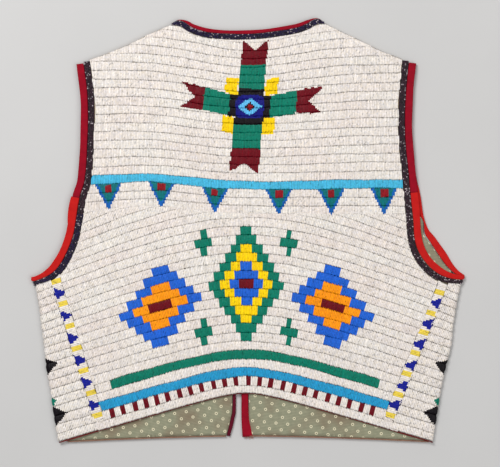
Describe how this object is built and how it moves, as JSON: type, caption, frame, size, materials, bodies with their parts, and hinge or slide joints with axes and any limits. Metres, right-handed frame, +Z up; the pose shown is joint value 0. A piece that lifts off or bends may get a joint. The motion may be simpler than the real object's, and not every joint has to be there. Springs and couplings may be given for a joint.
{
  "type": "beaded powwow vest",
  "caption": "Fully beaded hide vest laid flat with its back up: lane-stitched white ground, cross, stripe with pendants, stepped motifs and red cloth bindings.",
  "frame": {"origin": "middle of the vest's bounding box, on the surface it lies on", "axes": "+Z up from the surface, +Y towards the neck, +X towards the right edge as the back is seen"},
  "size_m": [0.5312, 0.5202, 0.009],
  "materials": {
    "beads": "opaque glossy seed beads on hide, in raised lanes",
    "navy_beads": "glossy dark seed beads along the edges",
    "crimson_cloth": "napped wool trade cloth, matte",
    "scarlet_cloth": "napped wool trade cloth, matte",
    "lining_cotton": "printed cotton calico, matte, small rings on a fine stripe"
  },
  "bodies": {
    "root": {"back_panel": "beads", "left_front_panel": "beads", "left_front_lining": "lining_cotton", "left_armhole_edging": "navy_beads", "left_armhole_binding_upper_back": "crimson_cloth", "left_armhole_binding_lower": "scarlet_cloth", "left_armhole_binding_upper_front": "crimson_cloth", "left_front_edge_binding": "crimson_cloth", "left_front_hem_binding": "crimson_cloth", "right_front_panel": "beads", "right_front_lining": "lining_cotton", "right_armhole_edging": "navy_beads", "right_armhole_binding_upper_back": "crimson_cloth", "right_armhole_binding_lower": "scarlet_cloth", "right_armhole_binding_upper_front": "crimson_cloth", "right_front_edge_binding": "crimson_cloth", "right_front_hem_binding": "crimson_cloth", "neck_edging": "navy_beads", "neck_binding": "crimson_cloth", "back_hem_binding": "crimson_cloth"}
  },
  "joints": []
}
